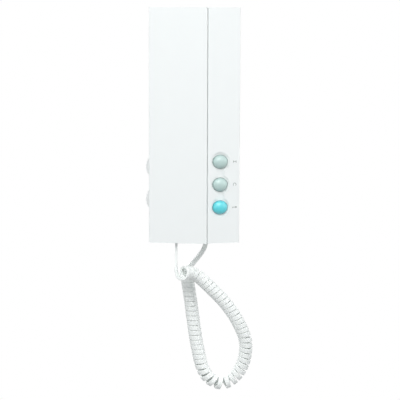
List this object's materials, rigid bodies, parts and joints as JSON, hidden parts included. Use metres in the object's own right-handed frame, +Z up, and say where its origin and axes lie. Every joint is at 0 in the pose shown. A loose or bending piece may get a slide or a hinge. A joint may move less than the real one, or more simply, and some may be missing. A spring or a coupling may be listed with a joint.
{
  "type": "audio intercom handset",
  "caption": "Wall-hung door phone with a lift-off handset on a cradle, a column of round push buttons, thumb-wheel volume controls and a curly cord.",
  "frame": {"origin": "centre of the back face, on the wall plane", "axes": "+X to the right seen from the front, +Y into the wall, +Z up along the longest side"},
  "size_m": [0.1004, 0.0619, 0.3577],
  "materials": {
    "white_plastic": "satin moulded",
    "grey_button": "satin moulded",
    "turquoise_button": "satin moulded",
    "wheel_plastic": "matte moulded",
    "circuit_board": "solder resist",
    "black_plastic": "matte moulded",
    "terminal_plastic": "matte moulded",
    "zinc_steel": "zinc plated",
    "capsule_metal": "satin",
    "foam": "open-cell foam",
    "rubber": "moulded",
    "clear_plastic": "clear moulded",
    "ribbon_grey": "extruded",
    "cord_jacket": "extruded soft jacket"
  },
  "bodies": {
    "base": {"back_plate": "white_plastic", "front_cover": "white_plastic", "cover_screw": "zinc_steel", "main_board": "circuit_board", "board_screws": "zinc_steel", "terminal_block": "terminal_plastic", "terminal_screws": "zinc_steel", "sounder": "black_plastic", "capacitors": "black_plastic", "hook_switch": "black_plastic", "call_volume_control": "black_plastic", "speech_volume_control": "black_plastic", "button_board": "circuit_board", "button_board_screws": "zinc_steel", "button_switch_top": "black_plastic", "button_switch_middle": "black_plastic", "button_switch_door": "black_plastic", "ribbon_headers": "black_plastic", "button_ribbon": "ribbon_grey", "base_cord_jack": "black_plastic", "base_cord_plug": "clear_plastic", "cord_coil": "cord_jacket", "cord_base_lead": "cord_jacket", "cord_handset_lead": "cord_jacket"},
    "handset": {"handset_front_shell": "white_plastic", "handset_rear_shell": "white_plastic", "handset_screws": "zinc_steel", "receiver_foam": "foam", "receiver_capsule": "capsule_metal", "microphone_boot": "rubber", "microphone": "capsule_metal", "handset_weight": "zinc_steel", "handset_cord_jack": "black_plastic", "handset_cord_plug": "clear_plastic"},
    "hook_plunger": {"hook_plunger": "white_plastic"},
    "call_wheel": {"call_volume_wheel": "wheel_plastic"},
    "speech_wheel": {"speech_volume_wheel": "wheel_plastic"},
    "top_button": {"button_top": "grey_button", "switch_plunger_top": "black_plastic"},
    "middle_button": {"button_middle": "grey_button", "switch_plunger_middle": "black_plastic"},
    "door_button": {"button_door": "turquoise_button", "switch_plunger_door": "black_plastic"}
  },
  "joints": [
    {"name": "handset_lift", "type": "slide", "parent": "base", "child": "handset", "axis": [0, -0.866, 0.5], "range_m": [0, 0.045], "deforming": ["cord_handset_lead"]},
    {"name": "hook_release", "type": "slide", "parent": "base", "child": "hook_plunger", "axis": [0, -1, 0], "range_m": [0, 0.003]},
    {"name": "call_volume", "type": "hinge", "parent": "base", "child": "call_wheel", "pos_m": [-0.0311, -0.013, -0.0406], "axis": [0, 1, 0], "range_deg": [-135, 135]},
    {"name": "speech_volume", "type": "hinge", "parent": "base", "child": "speech_wheel", "pos_m": [-0.0311, -0.013, -0.0714], "axis": [0, 1, 0], "range_deg": [-135, 135]},
    {"name": "press_top", "type": "slide", "parent": "base", "child": "top_button", "axis": [-0.2309, 0.973, 0], "range_m": [0, 0.001], "stiffness_N_per_m": 600},
    {"name": "press_middle", "type": "slide", "parent": "base", "child": "middle_button", "axis": [-0.2309, 0.973, 0], "range_m": [0, 0.001], "stiffness_N_per_m": 600},
    {"name": "press_door", "type": "slide", "parent": "base", "child": "door_button", "axis": [-0.2309, 0.973, 0], "range_m": [0, 0.001], "stiffness_N_per_m": 600}
  ],
  "couplings": [
    {"joint": "hook_release", "follows": "handset_lift", "ratio": 0.06}
  ]
}
